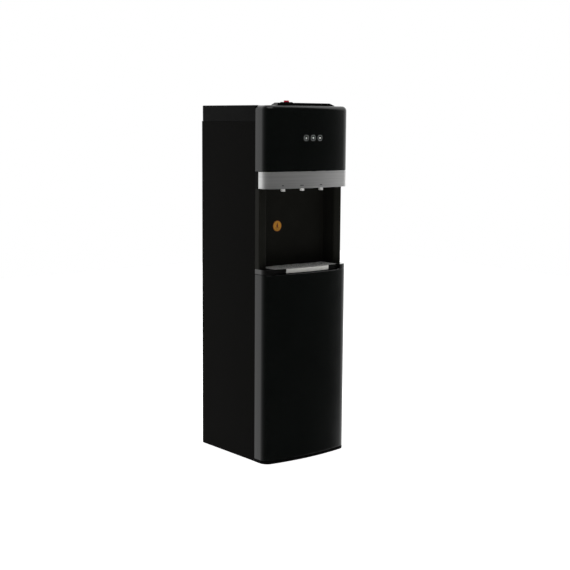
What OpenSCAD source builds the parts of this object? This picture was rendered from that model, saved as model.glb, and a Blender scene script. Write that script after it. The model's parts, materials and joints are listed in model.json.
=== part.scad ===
// Free-standing water dispenser with a bottom-loading bottle compartment.
// Front faces -Y, +X is the viewer's right, +Z is up, and the origin is on the floor under the middle.

/* [Cabinet] */
// Overall width
body_w = 313; // [300:1:380]
// Overall depth, from the middle of the bowed front to the back
body_d = 330; // [320:1:420]
// Height of the top cover above the floor
body_h = 1042; // [1020:1:1300]
// How far the moulded front stands ahead of the steel sides, at the middle
front_bulge = 66; // [60:1:80]
// Plan radius of the bowed front
bow_r = 775; // [600:5:1500]
// Plan radius of the front corners
corner_r = 27; // [24:1:36]
// Thickness of the sheet steel
sheet_t = 1; // [0.8:0.1:1.5]
// Width of the folded edges of the steel sides
flange_w = 14; // [10:1:18]
// Thickness of the moulded walls
wall_t = 2.5; // [2:0.1:3]
// How far the steel sides are set in from the moulded parts
panel_inset = 0.8; // [0.4:0.1:1.2]

/* [Levels] */
// Height of the foot pads below the base
foot_h = 1; // [1:0.1:5]
// Height of the base pan
base_h = 7.5; // [7:0.5:14]
// Height of the lower door
door_h = 549; // [520:1:600]
// Height of the ledge that holds the drip tray
ledge_h = 14; // [14:0.5:22]
// Height of the alcove where a cup is filled
alcove_h = 232; // [200:1:250]
// Height of the silver band
band_h = 48; // [40:1:60]
// Height of the skirt of the top cover
skirt_h = 46; // [30:1:60]

/* [Gaps and fits] */
// Shut line between fixed covers
seam_gap = 0.8; // [0.3:0.1:1.5]
// Gap all round the door and other parts that open
door_gap = 1.2; // [0.8:0.1:2]
// Play between parts that slot together
fit_gap = 0.4; // [0.3:0.05:0.6]
// Radial play of a pin in its bore
pin_play = 0.08; // [0.02:0.01:0.1]

/* [Door] */
// Distance from the hinge axis to the door's outer side and back face
hinge_inset = 8; // [7:0.5:10]
// Radius of the hinge pins
hinge_pin_r = 3; // [2.4:0.1:3.6]
// Length of a hinge pin inside the door
hinge_pin_reach = 16; // [12:1:24]
// Depth of the hollow between door skin and door liner
door_core = 11; // [9:1:12]

/* [Alcove] */
// Width of each side post
post_w = 27; // [20:1:32]
// How far the posts stand ahead of the steel sides
post_out = 20; // [14:1:22]
// Distance from the post face to the back wall
alcove_depth = 51; // [45:1:60]
// Radius of the inner edge of the posts
post_edge_r = 5; // [3:0.5:6]

/* [Drip tray] */
// Width of the tray
tray_w = 244; // [220:1:248]
// How far the tray front is set back from the front surface
tray_setback = 11; // [6:0.5:11]
// Width of the metal strip on the tray front
strip_w = 162; // [120:1:200]
// Thickness of the grille
grille_t = 1.6; // [1:0.1:2]
// Width of a grille slot
slot_w = 4; // [3:0.5:5]
// Distance between grille slots
slot_pitch = 8; // [7:0.5:12]

/* [Taps and keys] */
// Distance between taps
tap_pitch = 72; // [64:1:76]
// How far the taps stand ahead of the steel sides
tap_out = 22; // [20:1:28]
// Outside radius of a spout
spout_r = 6.5; // [5:0.5:8]
// How far a spout shows below the band
spout_drop = 10; // [8:1:20]
// Height of the key tops above the top cover
key_rise = 7.5; // [5:0.5:9]
// How far the keys are set back from the front surface
key_setback = 19; // [15:1:21]
// Radius of the key axle
axle_r = 2; // [1.6:0.1:2.6]
// Radius of a push rod
rod_r = 3; // [2.4:0.1:3.6]
// Radius of the indicator lenses
lens_r = 9; // [5:0.5:10]
// Distance between indicator lenses
lens_pitch = 26; // [21:1:30]
// How far the middle lens stands to the right of the centre line
lens_shift = 4; // [-30:1:30]

/* [Water tanks] */
// Radius of the cold tank
cold_r = 62; // [50:1:64]
// Height of the cold tank
cold_h = 185; // [140:1:190]
// Radius of the hot tank
hot_r = 42; // [30:1:44]
// Height of the hot tank
hot_h = 160; // [120:1:175]
// Thickness of the cold tank's foam
foam_t = 9; // [6:1:12]
// Thickness of the hot tank's insulation
hot_foam_t = 11; // [8:1:14]
// Outside radius of the water hoses
hose_r = 5; // [4:0.5:6]

/* [Cooling] */
// Radius of the compressor shell
comp_r = 70; // [60:1:72]
// Height of the compressor shell
comp_h = 140; // [110:1:150]
// Outside radius of the condenser tube
cond_tube_r = 2.4; // [2:0.1:3]
// Width of the condenser
cond_w = 244; // [200:1:250]
// Number of passes of the condenser tube
cond_runs = 9; // [5:1:11]
// Distance between passes of the condenser tube
cond_pitch = 34; // [28:1:36]
// Depth of the recess in the back that holds the condenser
back_recess = 22; // [20:1:30]

/* [Bottle probe] */
// Radius of the cap that covers the bottle's neck
cap_r = 28; // [26:1:30]
// Length of the suction tube
probe_len = 460; // [400:1:480]

/* [Hidden] */
$fn = 96;
cut = 1;
snug_gap = 0.1;

// Plan positions
half_w = body_w / 2;
front_y = -body_d / 2;
back_y = body_d / 2;
steel_y = front_y + front_bulge;
bow_y = front_y + bow_r;
corner_x = half_w - corner_r;
corner_y = bow_y - sqrt(pow(bow_r - corner_r, 2) - pow(corner_x, 2));
panel_x = half_w - panel_inset;
inner_x = panel_x - sheet_t;
recess_y = back_y - back_recess;
post_x = half_w - post_w;
post_y = steel_y - post_out;
alcove_y = post_y + alcove_depth;
cover_back_y = steel_y - fit_gap;

// Heights
base_top = foot_h + base_h;
door_z = base_top + door_gap;
door_top = door_z + door_h;
ledge_z = door_top + door_gap;
ledge_top = ledge_z + ledge_h;
alcove_top = ledge_top + alcove_h;
band_top = alcove_top + band_h;
panel_top = body_h - skirt_h;
shelf_z = ledge_z - 8;
shelf_top = shelf_z + 1.5;
tank_shelf_z = alcove_top - 21;
tank_z = tank_shelf_z + 2;
roof_z = body_h - wall_t;

// Feet and front trim
foot_stem_r = 4;
FEET = [for (x = [-1, 1], y = [-1, 1]) [x * (half_w - 40), y * (back_y - 50)]];
band_t = 1.4;
band_back = steel_y - 15;
lens_z = body_h - 92;

// Door
hinge_x = half_w - hinge_inset;
door_back = steel_y - door_gap;
hinge_y = door_back - hinge_inset;
liner_t = 2;
liner_in = wall_t + door_core;
boss_r = hinge_pin_r + 2;
boss_h = hinge_pin_reach + 6;
magnet_size = [9, 6, 50];
magnet_proud = 0.5;
magnet_x = -(half_w - wall_t - magnet_size[0] / 2 - 0.4);
magnet_z = (door_z + door_top) / 2;

// Tray
tray_z = ledge_z + wall_t + fit_gap;
tray_back = alcove_y - 4;
tray_wall = 2.5;
strip_t = 1;
strip_joint_x = 50;
strip_joint_w = 0.6;
strip_margin = 0.4;
grille_rest = 2;
grille_z = ledge_top - grille_t;

// Keys
TAP_X = [-tap_pitch, 0, tap_pitch];
tap_y = steel_y - tap_out;
key_gap = 1.2;
key_swing_gap = 1.8;
key_w = tap_pitch - key_gap;
key_top = body_h + key_rise;
key_wall = 2.5;
key_depth = 17;
lip_back = steel_y - 25;
barrel_r = axle_r + 3;
axle_y = steel_y - 7;
axle_z = roof_z - barrel_r - 0.5;
barrel_w = key_w - 10;
ear_t = 6;
carrier_z = key_top - key_depth - 17;
carrier_t = 2.5;
rod_gap = 0.4;
boss_z = carrier_z + 14;
rod_top = boss_z - rod_gap;
keys_half_w = 1.5 * tap_pitch;
window_half_w = keys_half_w + key_gap;
lock_base_h = 2;
lock_h = 4;
lock_y = steel_y - 35;
lock_slot = 5;

// Valves
spout_bore = 2.6;
spout_flange_r = 11;
spout_top = alcove_top + 25;
spout_z = alcove_top - spout_drop;
valve_r = 14;
valve_h = 50;
valve_top = spout_top + valve_h;
neck_h = 9;
rod_bottom = valve_top + 5;
stub_z = spout_top + 25;
stub_end = tap_y + 30;
stub_r = 4;

// Tanks
cold_x = half_w - 90;
tank_y = (alcove_y + recess_y) / 2;
hot_x = -(half_w - 62);
tank_wall = 1;
coil_tube_r = 3.4;
coil_r = cold_r + coil_tube_r + 1.2;
foam_in = coil_r + coil_tube_r + 0.6;
foam_r = foam_in + foam_t;
foam_floor = 12;
cold_z = tank_z + foam_floor;
cold_top = cold_z + cold_h;
lid_t = 6;
jacket_in = hot_r + 0.4;
jacket_r = jacket_in + hot_foam_t;
jacket_floor = 8;
hot_z = tank_z + jacket_floor;
hot_top = hot_z + hot_h;
hose_high = cold_top + lid_t + 12;

// Machine space
comp_x = half_w - 92;
comp_y = tank_y;
mount_h = 16;
plate_t = 3;
comp_z = shelf_top + mount_h + plate_t;
mount_dx = 62;
mount_dy = 62;
pump_x = -(half_w - 37);
pump_y = -20;
pump_size = [54, 54, 46];
motor_r = 19;
motor_h = 46;
pump_top = shelf_top + pump_size[2] + motor_h;
box_size = [26, 88, 70];
box_z = pump_top + 14;

// Bottle probe
probe_x = pump_x;
probe_y = recess_y - 16;
cap_h = 24;
cap_flange_r = cap_r + 3;
cap_z = shelf_z - 42;
clip_z = cap_z + 12;
clip_t = 4.5;
tube_r = 7;
tube_in = 5;

// Condenser and back
cond_y = back_y - 9;
wire_r = 0.8;
wire_count = 17;
bend_r = cond_pitch / 2;
cond_z = shelf_top + 110;
cond_h = (cond_runs - 1) * cond_pitch;
fitting_z = shelf_top + 48;
switch_z = cond_z + cond_h + 28;
switch_size = [20, 22];
switch_wall = 1.5;
switch_dx = 22;
rocker_tilt = 8;
rocker_y = recess_y - 3;
rocker_pin_r = 1.5;
drain_x = -(half_w - 30);
gland_r = 8;
spigot_r = 6;
spigot_len = 8;

SCREWS_LOW = [for (x = [-1, 0, 1], z = [0, 1]) [x * (inner_x - 24), base_top + 30 + z * (door_h - 50)]];
SCREWS_HIGH = [for (x = [-1, 1], z = [0, 1, 2]) [x * (inner_x - 6), shelf_top + 18 + z * 200]];
screw_r = 1.9;
screw_head_r = 3.6;
screw_head_h = 0.9;

// ---- Shared shapes ----

// Plan of the moulded front, inset all round, with a flat back at back_line
module front_plan(inset = 0, back_line = cover_back_y) {
  reach = 2 * bow_r;
  slope = corner_x / (bow_y - corner_y);
  intersection() {
    union() {
      intersection() {
        translate([0, bow_y]) circle(bow_r - inset);
        polygon([[0, bow_y], [-reach * slope, bow_y - reach], [reach * slope, bow_y - reach]]);
      }
      for (side = [-1, 1]) translate([side * corner_x, corner_y]) circle(corner_r - inset);
      translate([inset - half_w, corner_y]) square([body_w - 2 * inset, body_d]);
    }
    translate([-body_w, front_y - cut]) square([2 * body_w, back_line - front_y + cut]);
  }
}

// Plan of a moulded front wall, open at the back
module front_wall_plan(thick, inset = 0, back_line = cover_back_y) {
  difference() {
    front_plan(inset, back_line);
    front_plan(inset + thick, back_line + cut);
  }
}

// The corner left over when a square corner is rounded
module corner_scrap(x, y, to_x, to_y, r) {
  difference() {
    translate([to_x > 0 ? x - cut : x - r, to_y > 0 ? y - cut : y - r]) square(r + cut);
    translate([x + to_x * r, y + to_y * r]) circle(r);
  }
}

// Box given by its low and high corners
module span(low, high) {
  translate(low) cube(high - low);
}

// Box on one side of the centre line, mirrored when side is -1
module side_span(side, low, high) {
  mirror([side < 0 ? 1 : 0, 0, 0]) span(low, high);
}

// Upright cylinder between two heights
module post(x, y, low, high, r) {
  translate([x, y, low]) cylinder(h = high - low, r = r);
}

// Cylinder along Y
module y_rod(x, y, z, length, r) {
  translate([x, y, z]) rotate([-90, 0, 0]) cylinder(h = length, r = r);
}

// Cylinder along X, centred on x
module x_rod(x, y, z, length, r) {
  translate([x - length / 2, y, z]) rotate([0, 90, 0]) cylinder(h = length, r = r);
}

// Round pipe through a list of points, with ball corners
module pipe(points, r) {
  for (i = [0 : len(points) - 2]) {
    step = points[i + 1] - points[i];
    length = norm(step);
    translate(points[i])
      rotate([0, acos(step[2] / length), atan2(step[1], step[0])])
        cylinder(h = length, r = r, $fn = 32);
  }
  if (len(points) > 2) for (i = [1 : len(points) - 2]) translate(points[i]) sphere(1.12 * r, $fn = 32);
}

// Helical tube made as a swept ring of facets
module helix(coil_r, tube_r, pitch, turns, sides = 8, per_turn = 24) {
  count = turns * per_turn;
  function ring_point(i, j) =
    let (a = 360 * i / per_turn, b = 360 * j / sides, r = coil_r + tube_r * cos(b))
    [r * cos(a), r * sin(a), pitch * i / per_turn + tube_r * sin(b)];
  polyhedron(
    points = [for (i = [0 : count], j = [0 : sides - 1]) ring_point(i, j)],
    faces = concat(
      [[for (j = [0 : sides - 1]) j]],
      [[for (j = [sides - 1 : -1 : 0]) count * sides + j]],
      [for (i = [0 : count - 1], j = [0 : sides - 1])
        [i * sides + j, (i + 1) * sides + j, (i + 1) * sides + (j + 1) % sides, i * sides + (j + 1) % sides]]
    )
  );
}

// ---- Cabinet ----

module base_pan() {
  foot_hole = 0.05;
  rear_x = inner_x - fit_gap;
  rear_y = back_y - 2 * sheet_t - fit_gap;
  color("#101010") difference() {
    union() {
      translate([0, 0, foot_h]) linear_extrude(base_h) front_plan(0, steel_y);
      span([-rear_x, steel_y, foot_h], [rear_x, rear_y, base_top]);
    }
    span([8 - rear_x, steel_y + 8, foot_h + 3], [rear_x - 8, rear_y - 8, base_top + cut]);
    for (p = FEET) post(p[0], p[1], 0, foot_h + 2, foot_stem_r + foot_hole);
    post(hinge_x, hinge_y, base_top - 6, base_top + cut, hinge_pin_r);
  }
}

module feet() {
  color("#202020") for (p = FEET) {
    post(p[0], p[1], 0, foot_h, 13);
    post(p[0], p[1], foot_h, foot_h + 2, foot_stem_r);
  }
}

module side_panel(side) {
  flange_z = base_top + fit_gap;
  color("#0b0b09") {
    side_span(side, [inner_x, steel_y, foot_h], [panel_x, back_y, panel_top]);
    side_span(side, [inner_x - flange_w, steel_y, flange_z], [inner_x, steel_y + sheet_t, panel_top]);
    side_span(side, [inner_x - flange_w, back_y - sheet_t, flange_z], [inner_x, back_y, panel_top]);
  }
}
module side_panel_left() { side_panel(-1); }
module side_panel_right() { side_panel(1); }

module rear_panel_lower() {
  x = inner_x - fit_gap;
  outer = back_y - sheet_t;
  color("#151515") difference() {
    span([-x, outer - sheet_t, foot_h], [x, outer, shelf_z + 22]);
    for (p = SCREWS_LOW) y_rod(p[0], outer - sheet_t - cut, p[1], sheet_t + 2 * cut, screw_r);
  }
}

module rear_panel_upper() {
  x = half_w - wall_t - fit_gap;
  hole_y = recess_y - 2 * sheet_t;
  hole_len = 4 * sheet_t;
  vent_count = 9;
  vent_half_w = 45;
  vent_h = 3;
  vent_z = fitting_z - 16;
  color("#2a2a2a") difference() {
    span([-x, recess_y - sheet_t, shelf_top], [x, recess_y, roof_z]);
    for (p = SCREWS_HIGH) y_rod(p[0], hole_y, p[1], hole_len, screw_r);
    for (i = [0 : vent_count - 1]) translate([-vent_half_w, hole_y, vent_z + 2 * i * vent_h])
      cube([2 * vent_half_w, hole_len, vent_h]);
    y_rod(drain_x, hole_y, fitting_z, hole_len, spigot_r + fit_gap);
    y_rod(-drain_x, hole_y, fitting_z, hole_len, gland_r + fit_gap);
    for (side = [-1, 1]) translate([side * switch_dx, recess_y, switch_z])
      cube([switch_size[0] + snug_gap, hole_len, switch_size[1] + snug_gap], center = true);
  }
}

// Plan of the top cover, with rounded rear corners; an inset plan is open at the front
module cover_plan(inset) {
  r = 8 - inset;
  difference() {
    translate([inset - half_w, steel_y - inset]) square([body_w - 2 * inset, body_d - front_bulge]);
    for (side = [-1, 1]) corner_scrap(side * (half_w - inset), back_y - inset, -side, -1, r);
  }
}

module top_cover() {
  color("#0d0d0c") translate([0, 0, panel_top]) difference() {
    linear_extrude(skirt_h) cover_plan(0);
    translate([0, 0, -cut]) linear_extrude(skirt_h - wall_t + cut) cover_plan(wall_t);
  }
}

module mid_shelf() {
  x = inner_x - fit_gap;
  color("#555555") difference() {
    span([-x, steel_y + sheet_t + fit_gap, shelf_z], [x, back_y - 2 * sheet_t - fit_gap, shelf_top]);
    post(probe_x, probe_y, shelf_z - cut, shelf_top + cut, hose_r + fit_gap);
  }
}

module tank_shelf() {
  x = inner_x - fit_gap;
  color("#777777") difference() {
    span([-x, alcove_y + 8, tank_shelf_z], [x, recess_y - sheet_t - fit_gap, tank_z]);
    post(hot_x, tank_y, tank_shelf_z - cut, tank_z + cut, hose_r + fit_gap);
    post(hot_x + 24, tank_y, tank_shelf_z - cut, tank_z + cut, hose_r + fit_gap);
    post(cold_x - 36, tank_y, tank_shelf_z - cut, tank_z + cut, hose_r + fit_gap);
    for (dx = [-1, 1]) post(cold_x + dx * 10, recess_y - 14, tank_shelf_z - cut, tank_z + cut, 5);
  }
}

module screw_along_y(x, y, z) {
  y_rod(x, y, z, screw_head_h, screw_head_r);
  y_rod(x, y - 5, z, 5, screw_r - 0.05);
}

module screws() {
  color("#b0b0b0") {
    for (p = SCREWS_LOW) screw_along_y(p[0], back_y - sheet_t, p[1]);
    for (p = SCREWS_HIGH) screw_along_y(p[0], recess_y, p[1]);
  }
}

// ---- Moulded front ----

module lens_holes(r) {
  for (i = [-1, 0, 1]) y_rod(lens_shift + i * lens_pitch, front_y - cut, lens_z, front_bulge / 2, r);
}

module key_window() {
  intersection() {
    front_plan(key_setback - key_swing_gap, steel_y + cut);
    translate([-window_half_w, front_y]) square([2 * window_half_w, body_d]);
  }
}

module upper_front_panel() {
  low = band_top + seam_gap;
  color("#0a0c0b") difference() {
    union() {
      translate([0, 0, low]) linear_extrude(body_h - low) front_wall_plan(wall_t);
      translate([0, 0, roof_z]) linear_extrude(wall_t) front_plan(0);
    }
    translate([0, 0, roof_z - cut]) linear_extrude(wall_t + 2 * cut) key_window();
    lens_holes(lens_r);
  }
}

module indicator_lenses() {
  color("#9aa0a0") intersection() {
    translate([0, 0, lens_z - 2 * lens_r]) linear_extrude(4 * lens_r) front_wall_plan(wall_t, 2 * snug_gap);
    lens_holes(lens_r - snug_gap);
  }
}

module indicator_board() {
  board_y = front_y + wall_t + 7;
  w = 2 * lens_pitch + 36;
  color("#1f5a34") {
    span([lens_shift - w / 2, board_y, lens_z - 14], [lens_shift + w / 2, board_y + 1.6, lens_z + 14]);
    for (i = [-1, 0, 1]) y_rod(lens_shift + i * lens_pitch, board_y - 2.5, lens_z, 2.5, 2.5);
  }
}

module silver_band() {
  color("#a8a8a6") translate([0, 0, alcove_top]) linear_extrude(band_h) front_wall_plan(band_t, 0, band_back);
}

module spout_housing() {
  skin = band_t + snug_gap;
  color("#0d0d0d") difference() {
    translate([0, 0, alcove_top]) union() {
      linear_extrude(band_h) {
        front_wall_plan(wall_t, skin);
        for (side = [-1, 1]) mirror([side < 0 ? 1 : 0, 0])
          translate([half_w - skin - wall_t, band_back + snug_gap])
            square([skin + wall_t, cover_back_y - band_back - snug_gap]);
      }
      linear_extrude(wall_t) front_plan(skin);
      span([-post_x - wall_t, cover_back_y, 0], [post_x + wall_t, alcove_y + wall_t, wall_t]);
    }
    for (x = TAP_X) post(x, tap_y, alcove_top - cut, alcove_top + wall_t + cut, spout_r + snug_gap);
  }
}

module alcove_plan() {
  inner = post_x + wall_t;
  difference() {
    union() {
      translate([-half_w, post_y]) square([body_w, cover_back_y - post_y]);
      translate([-inner, post_y]) square([2 * inner, alcove_depth + wall_t]);
    }
    translate([-post_x, post_y - cut]) square([2 * post_x, alcove_depth + cut]);
    for (side = [-1, 1]) {
      corner_scrap(side * post_x, post_y, side, 1, post_edge_r);
      corner_scrap(side * half_w, post_y, -side, 1, 3);
      mirror([side < 0 ? 1 : 0, 0])
        translate([post_x + post_edge_r, post_y + wall_t]) square([post_w - wall_t - post_edge_r, post_out]);
    }
  }
}

module alcove_housing() {
  color("#121210") translate([0, 0, ledge_top]) linear_extrude(alcove_h) alcove_plan();
}

// Plan of the ledge and the floor of the alcove behind it
module ledge_plan() {
  inner = post_x + wall_t;
  front_plan(0);
  translate([-inner, post_y]) square([2 * inner, alcove_depth + wall_t]);
}

module tray_slot_plan(inset) {
  intersection() {
    front_plan(inset, tray_back + fit_gap);
    translate([-tray_w / 2 - fit_gap, front_y - cut]) square([tray_w + 2 * fit_gap, body_d]);
  }
}

module ledge_frame() {
  color("#0c0c0c") difference() {
    translate([0, 0, ledge_z]) linear_extrude(ledge_h) ledge_plan();
    translate([0, 0, ledge_z + wall_t]) linear_extrude(ledge_h) tray_slot_plan(-cut);
    translate([0, 0, ledge_z - cut]) linear_extrude(ledge_h) difference() {
      tray_slot_plan(-cut);
      front_plan(tray_setback + tray_wall + fit_gap, back_y);
    }
    post(hinge_x, hinge_y, ledge_z - cut, ledge_z + 8, hinge_pin_r);
  }
}

// Plan of the tray, inset all round
module tray_plan(inset) {
  intersection() {
    front_plan(tray_setback + inset, tray_back - inset);
    translate([inset - tray_w / 2, front_y]) square([tray_w - 2 * inset, body_d]);
  }
}

module drip_tray() {
  floor_t = 2;
  color("#111111") {
    difference() {
      translate([0, 0, tray_z]) linear_extrude(ledge_top - tray_z) tray_plan(0);
      translate([0, 0, tray_z + floor_t]) linear_extrude(ledge_h) tray_plan(tray_wall + grille_rest);
      translate([0, 0, grille_z - fit_gap]) linear_extrude(ledge_h) tray_plan(tray_wall);
    }
    translate([0, 0, ledge_z + 0.3]) linear_extrude(ledge_h / 2) difference() {
      tray_plan(0);
      front_plan(tray_setback + tray_wall, back_y);
    }
  }
}

module tray_strip() {
  color("#93938a") translate([0, 0, ledge_z + 0.3 + strip_margin])
    linear_extrude(ledge_h - 0.3 - 2 * strip_margin) intersection() {
      front_wall_plan(strip_t, tray_setback - strip_t);
      difference() {
        translate([-strip_w / 2, front_y]) square([strip_w, front_bulge / 2]);
        translate([strip_joint_x, front_y]) square([strip_joint_w, body_d]);
      }
    }
}

module drip_grille() {
  edge = tray_wall + fit_gap;
  rim = 7;
  reach = tray_back - tray_wall - (front_y + front_bulge / 2);
  count = floor((tray_w / 2 - edge - rim) / slot_pitch);
  color("#c2c2bd") translate([0, 0, grille_z]) linear_extrude(grille_t) difference() {
    tray_plan(edge);
    intersection() {
      tray_plan(edge + rim);
      for (i = [-count : count]) translate([i * slot_pitch - slot_w / 2, front_y]) square([slot_w, body_d]);
    }
  }
}

// ---- Door ----

// Plan of the closed door, with its hinge edge rounded about the hinge axis
module door_plan() {
  difference() {
    front_plan(0, door_back);
    corner_scrap(half_w, door_back, -1, -1, hinge_inset);
  }
}

module door_skin() {
  color("#0a0c0b") difference() {
    union() {
      translate([0, 0, door_z]) linear_extrude(door_h) difference() {
        door_plan();
        front_plan(wall_t, back_y);
      }
      for (z = [door_z, door_top - wall_t]) translate([0, 0, z]) linear_extrude(wall_t) difference() {
        door_plan();
        front_plan(liner_in + liner_t, back_y);
      }
      for (z = [door_z, door_top - boss_h]) post(hinge_x, hinge_y, z, z + boss_h, boss_r);
    }
    for (z = [door_z - cut, door_top - hinge_pin_reach - 2])
      post(hinge_x, hinge_y, z, z + hinge_pin_reach + 2 + cut, hinge_pin_r + pin_play);
  }
}

module door_liner() {
  inner = half_w - liner_in;
  color("#2b2b2b") difference() {
    translate([0, 0, door_z + wall_t + 0.2]) linear_extrude(door_h - 2 * wall_t - 0.4) {
      front_wall_plan(liner_t, liner_in, door_back);
      for (x = [[0.2 - inner - door_core, 1 - inner], [inner - 1, hinge_x]])
        translate([x[0], door_back - liner_t]) square([x[1] - x[0], liner_t]);
    }
    magnet_shape(snug_gap);
  }
}

module magnet_shape(grow) {
  translate([magnet_x, door_back + magnet_proud - magnet_size[1] / 2, magnet_z])
    cube([magnet_size[0] + 2 * grow, magnet_size[1], magnet_size[2] + 2 * grow], center = true);
}

module door_magnet() { color("#3c3c3c") magnet_shape(0); }

module hinge_pins() {
  collar_h = 0.8;
  color("#c8c8c8") {
    post(hinge_x, hinge_y, base_top - 6, door_z + hinge_pin_reach, hinge_pin_r);
    post(hinge_x, hinge_y, base_top, base_top + collar_h, boss_r);
    post(hinge_x, hinge_y, door_top - hinge_pin_reach, ledge_z + 8, hinge_pin_r);
  }
}

// ---- Keys, rods and taps ----

module key_carrier() {
  outer_ear_x = keys_half_w + ear_t / 2 + key_gap;
  ear_x = [-outer_ear_x, -tap_pitch / 2, tap_pitch / 2, outer_ear_x];
  color("#333333") difference() {
    union() {
      translate([0, 0, carrier_z]) linear_extrude(carrier_t) front_plan(wall_t + snug_gap, cover_back_y);
      for (x = ear_x) translate([x - ear_t / 2, axle_y - barrel_r, carrier_z])
        cube([ear_t, cover_back_y - axle_y + barrel_r, axle_z + 4 - carrier_z]);
    }
    for (x = TAP_X) post(x, tap_y, carrier_z - cut, carrier_z + carrier_t + cut, rod_r + fit_gap);
    x_rod(0, axle_y, axle_z, body_w, axle_r);
  }
}

module key_axle() {
  color("#c8c8c8") x_rod(0, axle_y, axle_z, 2 * (keys_half_w + key_gap + ear_t), axle_r);
}

// Side outline of a key, drawn with Y across and Z up
module key_profile(shrink = 0) {
  polygon([
    [front_y, key_top - key_depth],
    [front_y, key_top - shrink],
    [lip_back - shrink, key_top - shrink],
    [axle_y - 2 - shrink, body_h + 1 - shrink],
    [axle_y, body_h - shrink],
    [axle_y, axle_z - 1],
    [axle_y - barrel_r - 2, key_top - key_depth]
  ]);
}

module along_x(x, width) {
  translate([x - width / 2, 0, 0]) rotate([90, 0, 90]) linear_extrude(width) children();
}

module key_plan(x, inset = 0) {
  intersection() {
    front_plan(key_setback + inset, steel_y);
    translate([x - key_w / 2 + inset, front_y]) square([key_w - 2 * inset, body_d]);
  }
}

module key(x, with_lock = false) {
  hollow_back = axle_y - barrel_r - 3;
  difference() {
    union() {
      difference() {
        intersection() {
          along_x(x, key_w) key_profile();
          translate([0, 0, carrier_z]) linear_extrude(2 * key_depth + key_rise) key_plan(x);
        }
        intersection() {
          along_x(x, key_w) key_profile(key_wall);
          translate([0, 0, carrier_z]) linear_extrude(2 * key_depth) key_plan(x, key_wall);
          span([x - key_w, front_y, carrier_z], [x + key_w, hollow_back, key_top]);
        }
        for (side = [-1, 1]) translate([x, 0, 0])
          side_span(side, [barrel_w / 2, hollow_back, carrier_z], [key_w, axle_y + barrel_r, axle_z + 4.5]);
      }
      x_rod(x, axle_y, axle_z, barrel_w, barrel_r);
      post(x, tap_y, boss_z, key_top - key_wall, 5);
      if (with_lock) lock_base(x);
    }
    x_rod(x, axle_y, axle_z, key_w, axle_r + pin_play);
    if (with_lock) lock_slot_cut(x);
  }
}

// Raised pad that carries the child lock
module lock_base(x) {
  translate([x, lock_y, key_top - cut]) linear_extrude(lock_base_h + cut) {
    square([26, 16], center = true);
    for (side = [-1, 1]) translate([side * 13, 0]) circle(8);
  }
}

module lock_slot_cut(x) {
  span([x - 4 - fit_gap, lock_y - 5 - fit_gap, key_top - key_wall + 0.5],
       [x + 4 + fit_gap, lock_y + 5 + lock_slot + fit_gap, key_top + lock_base_h + cut]);
}

module key_hot() { color("#0c0c0c") key(TAP_X[0], true); }
module key_room() { color("#0c0c0c") key(TAP_X[1]); }
module key_cold() {
  slope_w = 22;
  end_x = TAP_X[2] + key_w / 2;
  slope = [[end_x - slope_w, key_top], [end_x, body_h + 1], [end_x + cut, body_h], [end_x + cut, key_top + cut]];
  color("#0c0c0c") difference() {
    key(TAP_X[2]);
    translate([0, steel_y, 0]) rotate([90, 0, 0]) linear_extrude(front_bulge + cut) polygon(slope);
  }
}

module child_lock() {
  x = TAP_X[0];
  low = key_top - key_wall + 0.8;
  head_z = key_top + lock_base_h + 0.3;
  color("#c02030") {
    span([x - 4, lock_y - 5, low], [x + 4, lock_y + 5, head_z]);
    translate([x, lock_y, head_z]) linear_extrude(lock_h) {
      square([7, 10], center = true);
      for (side = [-1, 1]) translate([side * 3.5, 0]) circle(5);
    }
  }
}

module push_rod(x) {
  color("#dddddd") {
    post(x, tap_y, rod_bottom, rod_top - rod_r, rod_r);
    translate([x, tap_y, rod_top - rod_r]) sphere(rod_r);
    post(x, tap_y, valve_top + neck_h + 22, valve_top + neck_h + 25, rod_r + 3);
  }
}
module push_rod_hot() { push_rod(TAP_X[0]); }
module push_rod_room() { push_rod(TAP_X[1]); }
module push_rod_cold() { push_rod(TAP_X[2]); }

module valve(x) {
  difference() {
    union() {
      post(x, tap_y, spout_top, valve_top, valve_r);
      post(x, tap_y, valve_top, valve_top + neck_h, rod_r + 5);
      y_rod(x, tap_y, stub_z, stub_end - tap_y, stub_r);
    }
    post(x, tap_y, valve_top, valve_top + neck_h + cut, rod_r + fit_gap);
  }
}
module valve_hot() { color("#e8e0d8") valve(TAP_X[0]); }
module valve_room() { color("#e8e0d8") valve(TAP_X[1]); }
module valve_cold() { color("#e8e0d8") valve(TAP_X[2]); }

module spouts() {
  color("#cfcfcb") for (x = TAP_X) difference() {
    union() {
      post(x, tap_y, spout_z, spout_top, spout_r);
      post(x, tap_y, alcove_top + wall_t, alcove_top + wall_t + 3, spout_flange_r);
    }
    post(x, tap_y, spout_z - cut, spout_top - 4, spout_bore);
  }
}

// Hose from the top of a tank, over and down to a tap's inlet
module tap_hose(x, from_x, from_z) {
  down_y = stub_end + hose_r + 2;
  pipe([[from_x, tank_y, from_z], [from_x, tank_y, hose_high], [x, down_y, hose_high],
        [x, down_y, stub_z], [x, stub_end, stub_z]], hose_r);
}

module water_hoses() {
  start = [pump_x + 18, pump_y + pump_size[1] / 2 + 10, shelf_top + 34];
  riser_x = cold_x - 36;
  riser_z = box_z + 100;
  color("#e6e6e6") {
    tap_hose(TAP_X[0], hot_x, hot_top);
    tap_hose(TAP_X[1], cold_x - 30, cold_top + lid_t);
    tap_hose(TAP_X[2], cold_x + 20, cold_top + lid_t);
    pipe([start, start + [0, 14, 0], [start[0], start[1] + 14, riser_z],
          [riser_x, tank_y, riser_z], [riser_x, tank_y, tank_z]], hose_r);
  }
}

// ---- Bottle probe and pump ----

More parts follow.
